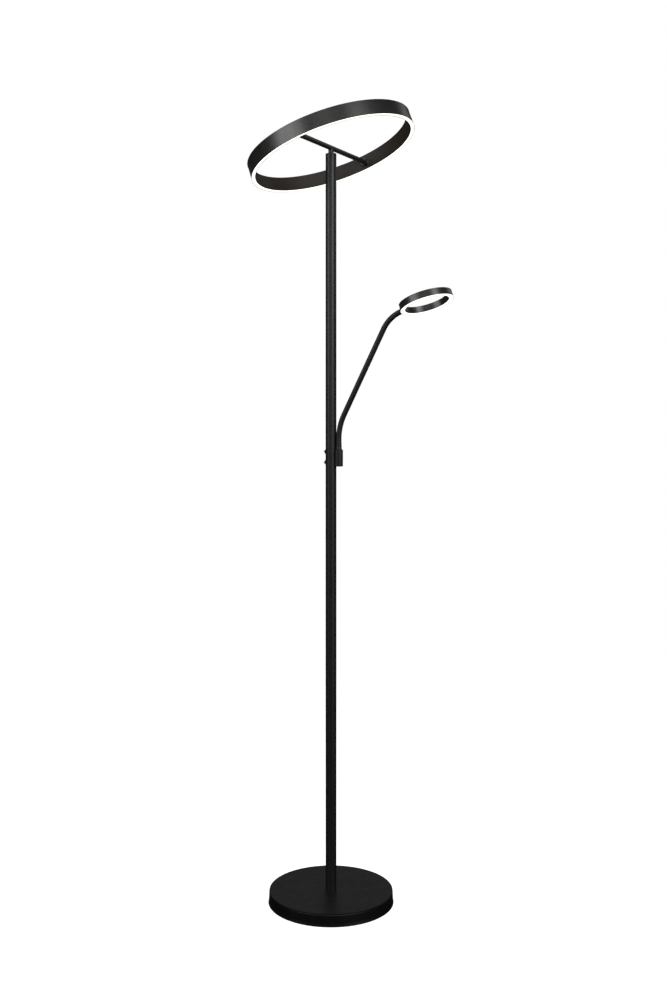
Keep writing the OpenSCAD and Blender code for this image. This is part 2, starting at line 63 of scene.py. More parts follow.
RING_TILT = math.radians(19.9)
READER_ROLL = math.radians(-5.2)
RING_W, RING_H = 10 * MM, 36.5 * MM
READER_W, READER_H = 12 * MM, 16.5 * MM
RING_WALL = 1 * MM
FACE_RECESS = 0.25 * MM
SOFT_EDGE = 0.6 * MM
BOSS_R = 8.5 * MM
PIN_BORE_R = 4.05 * MM
LEVER_THROW = math.radians(22)

PIVOT = JOINTS["head_tilt"]
RING_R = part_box("ring_housing")[1].y
READER_R = 64 * MM
BASE_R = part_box("base_shell")[1].x
BASE_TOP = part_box("base_shell")[1].z
BASE_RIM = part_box("base_shell")[0].z
BASE_EDGE_R = 2.5 * MM
BASE_WALL = 2 * MM
BASE_HOLE_R = 8.3 * MM
POLE_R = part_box("pole_lower")[1].x
POLE_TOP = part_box("pole_top_cap")[1].z
POLE_BORE_R = POLE_R - 1.5 * MM
NECK_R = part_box("neck_stem")[1].x
CROSSBAR_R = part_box("crossbar")[1].z - PIVOT.z
CROSSBAR_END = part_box("crossbar")[1].y
SOCKET_X = JOINTS["arm_swivel"].x
SOCKET_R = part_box("arm_socket")[1].x - SOCKET_X
COLLAR_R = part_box("arm_collar")[1].y
ARM_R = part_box("arm_link_1")[1].y


# ---- The arm's line: a bend, a straight run and a bend back, in the XZ plane ----

def heading(lean):
    return Vector((math.sin(lean), 0, math.cos(lean)))


def outward(lean):
    return Vector((math.cos(lean), 0, -math.sin(lean)))


def lean_of(step):
    return math.atan2(step.x, step.z)


ARM_START = Vector((SOCKET_X, 0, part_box("arm_collar")[1].z))
RUN_START, RUN_END, BEND_MID = JOINTS["flex_1"], JOINTS["flex_5"], JOINTS["flex_6"]
LOWER_BEND = lean_of(RUN_END - RUN_START)
LOWER_BEND_R = (RUN_START.x - ARM_START.x) / (1 - math.cos(LOWER_BEND))
HALF_UPPER = 2 * (lean_of(BEND_MID - RUN_END) - LOWER_BEND)
UPPER_BEND_R = (BEND_MID - RUN_END).length / (2 * math.sin(HALF_UPPER / 2))
ARM_LEAN = LOWER_BEND + 2 * HALF_UPPER
LOWER_LENGTH = LOWER_BEND_R * LOWER_BEND
RUN_LENGTH = (RUN_END - RUN_START).length
UPPER_LENGTH = UPPER_BEND_R * 2 * HALF_UPPER
ARM_LENGTH = LOWER_LENGTH + RUN_LENGTH + UPPER_LENGTH


def arm_point(s):
    """Point on the arm's centreline at length s from its start, and its lean there."""
    if s < LOWER_LENGTH:
        lean = s / LOWER_BEND_R
        return ARM_START + LOWER_BEND_R * (outward(0) - outward(lean)), lean
    if s < LOWER_LENGTH + RUN_LENGTH:
        return RUN_START + (s - LOWER_LENGTH) * heading(LOWER_BEND), LOWER_BEND
    lean = LOWER_BEND + (s - LOWER_LENGTH - RUN_LENGTH) / UPPER_BEND_R
    return RUN_END + UPPER_BEND_R * (outward(LOWER_BEND) - outward(lean)), lean


READER_TILT = math.pi / 2 - ARM_LEAN
READER_CENTRE = arm_point(ARM_LENGTH)[0] + READER_R * heading(ARM_LEAN)

RING_FRAME = Matrix.Translation(PIVOT) @ Matrix.Rotation(-RING_TILT, 4, "Y")
READER_TURN = Matrix.Rotation(-READER_TILT, 4, "Y") @ Matrix.Rotation(READER_ROLL, 4, "X")
READER_FRAME = Matrix.Translation(READER_CENTRE) @ READER_TURN
ALONG_Y = Matrix.Rotation(-math.pi / 2, 4, "X")
ALONG_X = Matrix.Rotation(math.pi / 2, 4, "Y")


# ---- Mesh helpers ----

def rounded(corners, steps):
    """Closed outline through corners (r, z, radius), each corner rounded by an arc."""
    outline = []
    for i, (r, z, radius) in enumerate(corners):
        corner = Vector((r, z))
        before = Vector(corners[i - 1][:2]) - corner
        after = Vector(corners[(i + 1) % len(corners)][:2]) - corner
        if radius <= 0:
            outline.append(corner)
            continue
        before.normalize()
        after.normalize()
        half = math.acos(max(-1.0, min(1.0, before.dot(after)))) / 2
        centre = corner + (before + after).normalized() * (radius / math.sin(half))
        first = corner + before * (radius / math.tan(half)) - centre
        turn = math.pi - 2 * half
        if first.x * after.y - first.y * after.x < 0:
            turn = -turn
        for k in range(steps + 1):
            angle = turn * k / steps
            c, s = math.cos(angle), math.sin(angle)
            outline.append(centre + Vector((first.x * c - first.y * s, first.x * s + first.y * c)))
    return outline


def finished(bm, name, matrix=Matrix.Identity(4)):
    """A new smooth-shaded object from bm, with sharp edges kept and its normals outward."""
    bmesh.ops.remove_doubles(bm, verts=bm.verts, dist=1e-7)
    bmesh.ops.recalc_face_normals(bm, faces=bm.faces)
    mesh = bpy.data.meshes.new(name)
    bm.to_mesh(mesh)
    bm.free()
    mesh.transform(matrix)
    mesh.polygons.foreach_set("use_smooth", [True] * len(mesh.polygons))
    mesh.set_sharp_from_angle(angle=math.radians(40))
    obj = bpy.data.objects.new(name, mesh)
    bpy.context.scene.collection.objects.link(obj)
    return obj


def weighted(obj):
    """Flat faces keep flat shading next to their rounded edges."""
    modifier = obj.modifiers.new("weighted", "WEIGHTED_NORMAL")
    modifier.keep_sharp = True
    return obj


def lathe_mesh(outline, segments, closed):
    """bmesh of an outline of (r, z) points turned about Z. An open outline runs from axis to axis."""
    bm = bmesh.new()
    uv = bm.loops.layers.uv.new("UVMap")
    lengths = [0.0]
    for a, b in zip(outline, outline[1:]):
        lengths.append(lengths[-1] + (Vector(b) - Vector(a)).length)
    if closed:
        lengths.append(lengths[-1] + (Vector(outline[0]) - Vector(outline[-1])).length)
    rings = []
    for r, z in outline:
        if r < 1e-7:
            rings.append([bm.verts.new((0, 0, z))] * segments)
            continue
        angles = [2 * math.pi * k / segments for k in range(segments)]
        rings.append([bm.verts.new((r * math.cos(a), r * math.sin(a), z)) for a in angles])
    count = len(rings) if closed else len(rings) - 1
    for i in range(count):
        low, high = rings[i], rings[(i + 1) % len(rings)]
        v_low, v_high = lengths[i] / lengths[-1], lengths[i + 1] / lengths[-1]
        for k in range(segments):
            n = (k + 1) % segments
            corners = [(low[k], k, v_low), (low[n], k + 1, v_low)]
            corners += [(high[n], k + 1, v_high), (high[k], k, v_high)]
            used, places = [], []
            for vert, u, v in corners:
                if vert not in used:
                    used.append(vert)
                    places.append((u / segments, v))
            if len(used) < 3:
                continue
            face = bm.faces.new(used)
            for loop, place in zip(face.loops, places):
                loop[uv].uv = place
    return bm


def lathe(name, corners, matrix=Matrix.Identity(4), segments=96, steps=6, closed=True):
    """A turned piece. Its corners are (r, z, radius of the edge), and matrix sets it in place."""
    outline = rounded(corners, steps) if closed else rounded_chain(corners, steps)
    return weighted(finished(lathe_mesh(outline, segments, closed), name, matrix))


def rounded_chain(corners, steps):
    """Open outline from axis to axis, its inner corners rounded."""
    ends = [(0, corners[0][1], 0), *corners, (0, corners[-1][1], 0)]
    return rounded(ends, steps)


def turned(name, corners, matrix=Matrix.Identity(4), segments=96):
    """A solid turned piece with flat ends on its axis."""
    return lathe(name, corners, matrix, segments, closed=False)


def swept(name, start, end, rings):
    """A length of the arm's sleeve between two lengths along its line, closed at both ends."""
    sides = 64
    bm = bmesh.new()
    uv = bm.loops.layers.uv.new("UVMap")
    loops, places = [], []
    for i in range(rings + 1):
        s = start + (end - start) * i / rings
        centre, lean = arm_point(s)
        ring = []
        for k in range(sides):
            a = 2 * math.pi * k / sides
            ring.append(bm.verts.new(
                centre + ARM_R * (math.cos(a) * outward(lean) + math.sin(a) * Vector((0, 1, 0)))))
        loops.append(ring)
        places.append(s / ARM_LENGTH)
    for i in range(rings):
        for k in range(sides):
            n = (k + 1) % sides
            face = bm.faces.new((loops[i][k], loops[i][n], loops[i + 1][n], loops[i + 1][k]))
            corners = [(k, i), (k + 1, i), (k + 1, i + 1), (k, i + 1)]
            for loop, (u, v) in zip(face.loops, corners):
                loop[uv].uv = (u / sides, places[v])
    bm.faces.new(loops[0])
    bm.faces.new(loops[-1])
    return finished(bm, name)


def evaluated(obj):
    """obj with its modifiers applied to its own mesh."""
    graph = bpy.context.evaluated_depsgraph_get()
    mesh = bpy.data.meshes.new_from_object(obj.evaluated_get(graph))
    obj.modifiers.clear()
    obj.data = mesh
    return obj


def combined(obj, other, operation):
    """obj after a boolean with other, which is used up."""
    modifier = obj.modifiers.new("boolean", "BOOLEAN")
    modifier.operation = operation
    modifier.object = other
    modifier.solver = "EXACT"
    evaluated(obj)
    bpy.data.objects.remove(other)
    return obj


def softened(obj, width, segments=3):
    """obj with its sharp edges rounded to width."""
    modifier = obj.modifiers.new("edges", "BEVEL")
    modifier.width = width
    modifier.segments = segments
    modifier.limit_method = "ANGLE"
    modifier.angle_limit = math.radians(40)
    modifier.harden_normals = False
    evaluated(obj)
    obj.data.polygons.foreach_set("use_smooth", [True] * len(obj.data.polygons))
    obj.data.set_sharp_from_angle(angle=math.radians(50))
    return weighted(obj)


def block(name, low, high):
    """A box between two corners, to be joined or cut."""
    bm = bmesh.new()
    bmesh.ops.create_cube(bm, size=1)
    low, high = Vector(low), Vector(high)
    matrix = Matrix.Translation((low + high) / 2) @ Matrix.Diagonal((*(high - low), 1))
    bmesh.ops.transform(bm, matrix=matrix, verts=bm.verts)
    return finished(bm, name)


def plain_rod(name, radius, low, high, matrix=Matrix.Identity(4)):
    """A plain cylinder along Z, to be joined or cut."""
    bm = lathe_mesh([(0, low), (radius, low), (radius, high), (0, high)], 96, closed=False)
    return finished(bm, name, matrix)


def hex_nut(name, corner_r, bore_r, height, matrix):
    """A chamfered hexagon nut, standing on its frame's origin."""
    bm = lathe_mesh([(0, 0), (corner_r, 0), (corner_r, height), (0, height)], 6, closed=False)
    nut = finished(bm, name, matrix)
    chamfer = 0.35 * MM
    cone = [(0, -MM), (corner_r + MM, -MM), (corner_r + MM, height - chamfer - 0.58 * MM)]
    cone += [(corner_r - chamfer, height), (0, height)]
    nut = combined(nut, finished(lathe_mesh(cone, 96, closed=False), "cone", matrix), "INTERSECT")
    nut = combined(nut, plain_rod("bore", bore_r, -MM, height + MM, matrix), "DIFFERENCE")
    return softened(nut, 0.12 * MM, 2)


# ---- Material helpers ----

class Shader:
    """A new Principled material, with the nodes that its looks are made of."""

    def __init__(self, name, **values):
        self.material = bpy.data.materials.new(name)
        self.material.use_nodes = True
        self.nodes = self.material.node_tree.nodes
        self.links = self.material.node_tree.links
        self.bsdf = self.nodes["Principled BSDF"]
        self.place = self.nodes.new("ShaderNodeTexCoord").outputs["Object"]
        self.bump = None
        for socket, value in values.items():
            self.bsdf.inputs[socket.replace("_", " ")].default_value = value

    def noise(self, feature, detail=3.0, roughness=0.55, stretch=None):
        """Noise with features of that size in metres, stretched along an axis if wanted."""
        node = self.nodes.new("ShaderNodeTexNoise")
        node.inputs["Scale"].default_value = 1 / feature
        node.inputs["Detail"].default_value = detail
        node.inputs["Roughness"].default_value = roughness
        place = self.place
        if stretch:
            mapping = self.nodes.new("ShaderNodeMapping")
            mapping.inputs["Scale"].default_value = stretch
            self.links.new(self.place, mapping.inputs["Vector"])
            place = mapping.outputs["Vector"]
        self.links.new(place, node.inputs["Vector"])
        return node.outputs["Fac"]

    def cells(self, feature):
        """Distance to the nearest of scattered points, that far apart in metres."""
        node = self.nodes.new("ShaderNodeTexVoronoi")
        node.inputs["Scale"].default_value = 1 / feature
        self.links.new(self.place, node.inputs["Vector"])
        return node.outputs["Distance"]

    def spread(self, value, low, high, from_low=0.3, from_high=0.7):
        """value remapped to run from low to high."""
        node = self.nodes.new("ShaderNodeMapRange")
        node.inputs["From Min"].default_value = from_low
        node.inputs["From Max"].default_value = from_high
        node.inputs["To Min"].default_value = low
        node.inputs["To Max"].default_value = high
        self.links.new(value, node.inputs["Value"])
        return node.outputs["Result"]

    def product(self, a, b):
        node = self.nodes.new("ShaderNodeMath")
        node.operation = "MULTIPLY"
        self.links.new(a, node.inputs[0])
        self.links.new(b, node.inputs[1])
        return node.outputs["Value"]

    def blend(self, factor, first, second):
        """Colour between first and second. Each is a colour or another node's colour."""
        node = self.nodes.new("ShaderNodeMix")
        node.data_type = "RGBA"
        self.links.new(factor, node.inputs["Factor"])
        for socket, colour in (("A", first), ("B", second)):
            target = next(i for i in node.inputs if i.name == socket and i.type == "RGBA")
            if isinstance(colour, bpy.types.NodeSocket):
                self.links.new(colour, target)
            else:
                target.default_value = (*colour, 1)
        return next(o for o in node.outputs if o.type == "RGBA")

    def mixed(self, factor, first, second):
        """Number between first and second. Each is a number or another node's value."""
        node = self.nodes.new("ShaderNodeMix")
        self.links.new(factor, node.inputs["Factor"])
        for socket, value in ((node.inputs["A"], first), (node.inputs["B"], second)):
            if isinstance(value, bpy.types.NodeSocket):
                self.links.new(value, socket)
            else:
                socket.default_value = value
        return node.outputs["Result"]

    def faces_centre(self, centre):
        """Mask that is 1 on walls that face a point given in the piece's own frame."""
        offset = self.nodes.new("ShaderNodeVectorMath")
        offset.operation = "SUBTRACT"
        self.links.new(self.place, offset.inputs[0])
        offset.inputs[1].default_value = centre
        facing = self.nodes.new("ShaderNodeVectorMath")
        facing.operation = "DOT_PRODUCT"
        self.links.new(offset.outputs["Vector"], facing.inputs[0])
        self.links.new(self.nodes.new("ShaderNodeTexCoord").outputs["Normal"], facing.inputs[1])
        return self.spread(facing.outputs["Value"], 1, 0, -0.05, 0)

    def colour(self, value):
        self.links.new(value, self.bsdf.inputs["Base Color"])

    def roughness(self, value):
        self.links.new(value, self.bsdf.inputs["Roughness"])

    def relief(self, height, distance):
        """Bump of that height in metres, on top of the relief so far."""
        node = self.nodes.new("ShaderNodeBump")
        node.inputs["Distance"].default_value = distance
        node.inputs["Strength"].default_value = 1
        self.links.new(height, node.inputs["Height"])
        if self.bump:
            self.links.new(self.bump, node.inputs["Normal"])
        self.bump = node.outputs["Normal"]
        self.links.new(self.bump, self.bsdf.inputs["Normal"])

    def edge_wear_and_sheen(self):
        """Mask that is 1 on outer edges, broken up by noise: rubbed edge wear and a painted edge highlight."""
        geometry = self.nodes.new("ShaderNodeNewGeometry")
        edges = self.spread(geometry.outputs["Pointiness"], 0, 1, 0.52, 0.62)
        return self.product(edges, self.spread(self.noise(4 * MM), 0, 1, 0.35, 0.75))


def scaled(colour, factor):
    return tuple(c * factor for c in colour)


# ---- Materials ----

def powder_coat(name, colour, roughness, grain, peel):
    """Fine satin powder coat: orange peel, fine grain, faint mottle, and edges lightened by rubbed wear and a
    painted edge highlight.
    """
    shader = Shader(name, Specular_IOR_Level=0.5)
    mottle = shader.spread(shader.noise(35 * MM, 4), 0, 1)
    body = shader.blend(mottle, scaled(colour, 0.86), scaled(colour, 1.14))
    speck = shader.spread(shader.noise(0.5 * MM, 2), 0, 1, 0.55, 0.75)
    body = shader.blend(speck, body, scaled(colour, 1.35))
    wear_and_sheen = shader.edge_wear_and_sheen()
    # Edges lightened: rubbed wear plus a painted edge highlight.
    shader.colour(shader.blend(wear_and_sheen, body, scaled(colour, 2.2)))
    rough = shader.noise(18 * MM, 5, 0.6)
    shader.roughness(shader.spread(rough, roughness - 0.05, roughness + 0.06))
    shader.relief(shader.noise(1.6 * MM, 2), peel)
    shader.relief(shader.noise(0.35 * MM, 3, 0.7), grain)
    return shader.material


def ring_coat(name, colour, centre=None):
    """Smoother coat of the rings. Around centre, if given, the ring's inner wall is dull and painted paler and
    warmer as painted glow spill from the lit face.
    """
    shader = Shader(name)
    mottle = shader.spread(shader.noise(35 * MM, 4), 0, 1)
    body = shader.blend(mottle, scaled(colour, 0.88), scaled(colour, 1.12))
    rough = shader.spread(shader.noise(18 * MM, 5, 0.6), 0.28, 0.34)
    if centre:
        inside = shader.faces_centre(centre)
        shader.roughness(shader.mixed(inside, rough, 0.6))
        shader.links.new(shader.mixed(inside, 0.85, 0.35), shader.bsdf.inputs["Specular IOR Level"])
        # Painted light: the inner wall's warm, paler tone stands in for glow spill from the lit face.
        body = shader.blend(inside, body, (0.036, 0.029, 0.023))
    else:
        shader.roughness(rough)
        shader.bsdf.inputs["Specular IOR Level"].default_value = 0.85
    # Edges lightened: rubbed wear plus a painted edge highlight.
    shader.colour(shader.blend(shader.edge_wear_and_sheen(), body, scaled(colour, 2.2)))
    shader.relief(shader.noise(1.6 * MM, 2), 0.008 * MM)
    shader.relief(shader.noise(0.35 * MM, 3, 0.7), 0.004 * MM)
    return shader.material


def silicone_sleeve():
    """Smooth black sleeve with a faint drag along its length, dust and fine pores."""
    shader = Shader("silicone_sleeve", Specular_IOR_Level=0.5)
    mottle = shader.spread(shader.noise(12 * MM, 4), 0, 1)
    dust = shader.spread(shader.noise(1.2 * MM, 5, 0.7), 0, 1, 0.58, 0.8)
    body = shader.blend(mottle, (0.007, 0.007, 0.007), (0.011, 0.011, 0.011))
    shader.colour(shader.blend(dust, body, (0.016, 0.016, 0.0155)))
    shader.roughness(shader.spread(shader.noise(9 * MM, 4), 0.44, 0.58))
    shader.relief(shader.noise(2.5 * MM, 2), 0.03 * MM)
    shader.relief(shader.noise(0.3 * MM, 2), 0.01 * MM)
    return shader.material


def black_steel():
    """Black oxide on small turned and pressed steel pieces, paler on its edges from rubbed wear and a painted edge
    highlight.
    """
    shader = Shader("black_steel", Metallic=0.6, Specular_IOR_Level=0.5)
    mottle = shader.spread(shader.noise(1.5 * MM, 4), 0, 1)
    body = shader.blend(mottle, (0.016, 0.016, 0.017), (0.03, 0.029, 0.028))
    # Edges lightened: rubbed wear plus a painted edge highlight.
    shader.colour(shader.blend(shader.edge_wear_and_sheen(), body, (0.12, 0.115, 0.11)))
    shader.roughness(shader.spread(shader.noise(0.8 * MM, 3), 0.3, 0.48))
    shader.relief(shader.noise(0.25 * MM, 2), 0.006 * MM)
    return shader.material


def foam_mat():
    """Closed-cell foam rubber: small round cells and a dusty, uneven tone."""
    shader = Shader("foam_mat")
    cells = shader.cells(1.1 * MM)
    body = shader.blend(shader.spread(cells, 0, 1, 0.1, 0.6), (0.009, 0.009, 0.009), (0.021, 0.021, 0.02))
    dust = shader.spread(shader.noise(20 * MM, 5), 0, 1, 0.5, 0.8)
    shader.colour(shader.blend(dust, body, (0.035, 0.034, 0.032)))
    shader.roughness(shader.spread(cells, 0.95, 0.8, 0.1, 0.6))
    shader.relief(cells, 0.25 * MM)
    return shader.material


def soft_rubber():
    """Moulded black rubber of the cord's grommet."""
    shader = Shader("soft_rubber")
    mottle = shader.spread(shader.noise(3 * MM, 4), 0, 1)
    shader.colour(shader.blend(mottle, (0.011, 0.011, 0.011), (0.02, 0.02, 0.019)))
    shader.roughness(shader.spread(shader.noise(1.5 * MM, 3), 0.6, 0.78))
    shader.relief(shader.noise(0.4 * MM, 2), 0.015 * MM)
    return shader.material


def nylon():
    """Matt moulded nylon."""
    shader = Shader("nylon")
    mottle = shader.spread(shader.noise(2 * MM, 4), 0, 1)
    shader.colour(shader.blend(mottle, (0.014, 0.014, 0.014), (0.026, 0.026, 0.025)))
    shader.roughness(shader.spread(shader.noise(1 * MM, 3), 0.5, 0.66))
    shader.relief(shader.noise(0.3 * MM, 2), 0.01 * MM)
    return shader.material


def zinc_plate():
    """Zinc-plated steel: faint crystals, drawn lines and duller patches."""
    shader = Shader("zinc_plate", Metallic=1.0)
    patches = shader.spread(shader.noise(6 * MM, 4), 0, 1)
    crystals = shader.spread(shader.cells(1.5 * MM), 0, 1, 0.1, 0.7)
    body = shader.blend(crystals, (0.50, 0.51, 0.53), (0.60, 0.61, 0.63))
    shader.colour(shader.blend(patches, body, (0.44, 0.45, 0.46)))
    shader.roughness(shader.spread(shader.noise(5 * MM, 5), 0.28, 0.45))
    shader.relief(shader.noise(1 * MM, 3, 0.6, stretch=(1, 1, 12)), 0.006 * MM)
    return shader.material


def cast_iron():
    """Sand-cast iron: coarse grain, pits and a little rust."""
    shader = Shader("cast_iron", Metallic=0.7)
    grain = shader.noise(1.8 * MM, 5, 0.65)
    rust = shader.spread(shader.noise(14 * MM, 5, 0.65), 0, 1, 0.58, 0.72)
    body = shader.blend(shader.spread(grain, 0, 1), (0.065, 0.066, 0.07), (0.12, 0.12, 0.125))
    shader.colour(shader.blend(rust, body, (0.13, 0.07, 0.045)))
    shader.roughness(shader.spread(grain, 0.62, 0.85))
    shader.relief(grain, 0.25 * MM)
    shader.relief(shader.cells(5 * MM), 0.15 * MM)
    return shader.material


def white_plastic(name, pale, dark, roughness):
    """Moulded white plastic or solder mask, with a fine spark-eroded grain."""
    shader = Shader(name)
    shader.colour(shader.blend(shader.spread(shader.noise(8 * MM, 4), 0, 1), dark, pale))
    shader.roughness(shader.spread(shader.noise(2 * MM, 3), roughness - 0.06, roughness + 0.08))
    shader.relief(shader.noise(0.35 * MM, 2), 0.02 * MM)
    return shader.material


def cable_sheath():
    """Grey PVC cable sheath, slightly rippled over its cores."""
    shader = Shader("cable_sheath")
    mottle = shader.spread(shader.noise(6 * MM, 4), 0, 1)
    shader.colour(shader.blend(mottle, (0.04, 0.04, 0.044), (0.06, 0.06, 0.066)))
    shader.roughness(shader.spread(shader.noise(3 * MM, 3), 0.42, 0.56))
    shader.relief(shader.noise(3 * MM, 2, 0.5, stretch=(2, 2, 0.4)), 0.05 * MM)
    return shader.material


GLOW_COLOUR = (1.0, 0.93, 0.82)
RING_BLACK = (0.0190, 0.0176, 0.0170)


def lit_acrylic(name, strength):
    """Frosted acrylic lit from behind, evenly bright, with a fine frosted skin."""
    shader = Shader(name, Emission_Color=(*GLOW_COLOUR, 1), Emission_Strength=strength)
    frost = shader.spread(shader.noise(0.6 * MM, 3), 0, 1)
    shader.colour(shader.blend(frost, (0.86, 0.84, 0.79), (0.95, 0.94, 0.9)))
    shader.roughness(shader.spread(shader.noise(0.8 * MM, 3), 0.42, 0.56))
    shader.relief(shader.noise(0.3 * MM, 2), 0.02 * MM)
    return shader.material


MATERIALS = {
    "base_paint": powder_coat("base_powder", (0.0050, 0.0049, 0.0049), 0.42, 0.012 * MM, 0.02 * MM),
    "pole_paint": powder_coat("pole_powder", (0.0130, 0.0124, 0.0124), 0.40, 0.004 * MM, 0.008 * MM),
    "arm_paint": powder_coat("arm_powder", (0.0110, 0.0106, 0.0105), 0.40, 0.004 * MM, 0.008 * MM),
    "ring_paint": ring_coat("ring_powder", RING_BLACK),
    "black_steel": black_steel(),
    "cast_iron": cast_iron(),
    "zinc_steel": zinc_plate(),
    "mat": foam_mat(),
    "sleeve": silicone_sleeve(),
    "grommet": soft_rubber(),
    "nylon": nylon(),
    "driver_case": white_plastic("driver_plastic", (0.78, 0.78, 0.76), (0.68, 0.68, 0.65), 0.5),
    "cable": cable_sheath(),
    "board": white_plastic("solder_mask", (0.82, 0.82, 0.78), (0.74, 0.74, 0.69), 0.35),
    "diffuser": lit_acrylic("lit_acrylic", 1.8),
}

# Painted light: a paler copy of the pole's black coat, so the crossbar and neck look lit.
BAR_COAT_WITH_PAINTED_LIGHT = powder_coat("bar_powder_painted_light", (0.033, 0.031, 0.030), 0.34, 0.004 * MM, 0.008 * MM)


def dress(obj, slot):
    """Gives obj the finish of a material slot."""
    obj.data.materials.clear()
    obj.data.materials.append(MATERIALS[slot])
    return obj


def place(obj, body, slot, *stands_for):
    """obj rides on body, has the slot's finish, and stands for those CAD nodes."""
    dress(obj, slot)
    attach(obj, body)
    if stands_for:
        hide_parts(*stands_for)
    return obj


def dress_cad_nodes():
    """Each CAD node that stays gets the finish of the slot that the record gives it."""
    for subpart in frame["record"]["subparts"]:
        for entry in frame["nodes"][subpart["node"]].material_slots:
            entry.material = MATERIALS[subpart["material_slot"]]


# ---- Camera, light and floor ----

VIEW_AZIMUTH = math.radians(26)
CAMERA_DISTANCE = 2.933
CAMERA_HEIGHT = 1.201
CAMERA_ASIDE = 6 * MM
LENS = 43.99
HORIZON_SHIFT = -0.0992
FLOOR_R = 2.6


def around(azimuth, distance, height):
    """Point at that azimuth round the pole, as seen from above: 0 is -Y, and 90 degrees is +X."""
    return Vector((math.sin(azimuth) * distance, -math.cos(azimuth) * distance, height))


def make_camera():
    data = bpy.data.cameras.new("camera")
    data.lens = LENS
    data.sensor_width = 36
    data.shift_y = HORIZON_SHIFT
    camera = bpy.data.objects.new("camera", data)
    sideways = Vector((math.cos(VIEW_AZIMUTH), math.sin(VIEW_AZIMUTH), 0))
    camera.location = around(VIEW_AZIMUTH, CAMERA_DISTANCE, CAMERA_HEIGHT) + CAMERA_ASIDE * sideways
    camera.rotation_euler = (math.pi / 2, 0, VIEW_AZIMUTH)
    bpy.context.scene.collection.objects.link(camera)
    bpy.context.scene.camera = camera


def softbox(name, azimuth, distance, height, width, tall, power, aim):
    """A rectangular studio light beside the camera by that many degrees, facing a height on the pole."""
    data = bpy.data.lights.new(name, "AREA")
    data.shape = "RECTANGLE"
    data.size = width
    data.size_y = tall
    data.energy = power
    light = bpy.data.objects.new(name, data)
    light.location = around(VIEW_AZIMUTH + math.radians(azimuth), distance, height)
    towards = Vector((0, 0, aim)) - light.location
    light.rotation_euler = towards.to_track_quat("-Z", "Y").to_euler()
    light.visible_camera = False
    bpy.context.scene.collection.objects.link(light)


def make_lights():
    softbox("left_softbox", -57, 2.5, 2.15, 1.6, 1.5, 21, 1.8)
    softbox("right_softbox", 40, 2.5, 2.45, 1.2, 2.1, 35, 1.8)
    softbox("left_low_softbox", -57, 2.5, 0.65, 1.2, 1.4, 1.8, 0.6)
    softbox("right_low_softbox", 49, 2.5, 0.6, 1.2, 1.3, 3.5, 0.6)
    softbox("front_fill", 0, 3.1, 2.2, 2.4, 1.3, 9, 1.5)
    softbox("overhead_softbox", -30, 1.2, 3.4, 1.6, 1.6, 12, 1.2)
    softbox("back_right_softbox", 130, 2.5, 2.5, 1.4, 1.4, 3.5, 1.8)
    softbox("back_panel", 180, 2.4, 1.2, 2.4, 1.7, 1.9, 0.6)


def make_world():
    """White to the camera, and a dim grey room to everything else."""
    world = bpy.data.worlds.new("studio")
    world.use_nodes = True
    nodes, links = world.node_tree.nodes, world.node_tree.links
    room = nodes["Background"]
    room.inputs["Color"].default_value = (0.012, 0.012, 0.012, 1)
    backdrop = nodes.new("ShaderNodeBackground")
    backdrop.inputs["Color"].default_value = (1, 1, 1, 1)
    seen = nodes.new("ShaderNodeLightPath").outputs["Is Camera Ray"]
    mix = nodes.new("ShaderNodeMixShader")
    links.new(seen, mix.inputs["Fac"])
    links.new(room.outputs["Background"], mix.inputs[1])
    links.new(backdrop.outputs["Background"], mix.inputs[2])
    links.new(mix.outputs["Shader"], nodes["World Output"].inputs["Surface"])
    bpy.context.scene.world = world


def floor_material(fade_from, fade_to):
    """Pale matt paper that fades into the backdrop with the distance from the lamp."""
    shader = Shader("floor_paper", Roughness=0.9, Specular_IOR_Level=0.1,
                    Emission_Color=(1, 1, 1, 1), Emission_Strength=0.92)
    fibre = shader.spread(shader.noise(60 * MM, 6, 0.6), 0, 1)
    shader.colour(shader.blend(fibre, (0.93, 0.93, 0.93), (0.95, 0.95, 0.95)))
    length = shader.nodes.new("ShaderNodeVectorMath")
    length.operation = "LENGTH"
    shader.links.new(shader.place, length.inputs[0])
    fade = shader.spread(length.outputs["Value"], 1, 0, fade_from, fade_to)
    shader.links.new(fade, shader.bsdf.inputs["Alpha"])
    return shader.material


def make_floor():
    bm = lathe_mesh([(0, 0), (FLOOR_R / 2, 0), (FLOOR_R, 0)], 96, closed=False)
    floor = finished(bm, "floor")
    floor.data.materials.append(floor_material(0.5 * FLOOR_R, 0.98 * FLOOR_R))
    floor.visible_diffuse = False
    floor.visible_glossy = False


# ---- Base ----

def make_base():
    edge = BASE_EDGE_R
    inner = BASE_R - BASE_WALL
    under = BASE_TOP - BASE_WALL
    cover = lathe("base_cover", [
        (BASE_HOLE_R, BASE_TOP, 0), (BASE_R, BASE_TOP, edge), (BASE_R, BASE_RIM, 0.5 * MM),
        (inner, BASE_RIM, 0.5 * MM), (inner, under, edge - BASE_WALL / 2), (BASE_HOLE_R, under, 0),
    ], segments=256, steps=8)
    place(cover, "stand", "base_paint", "base_shell")
    low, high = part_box("base_mat")
    pad = turned("foam_pad", [(high.x, low.z, 0.4 * MM), (high.x, high.z, 0.4 * MM)], segments=192)
    place(pad, "stand", "mat", "base_mat")


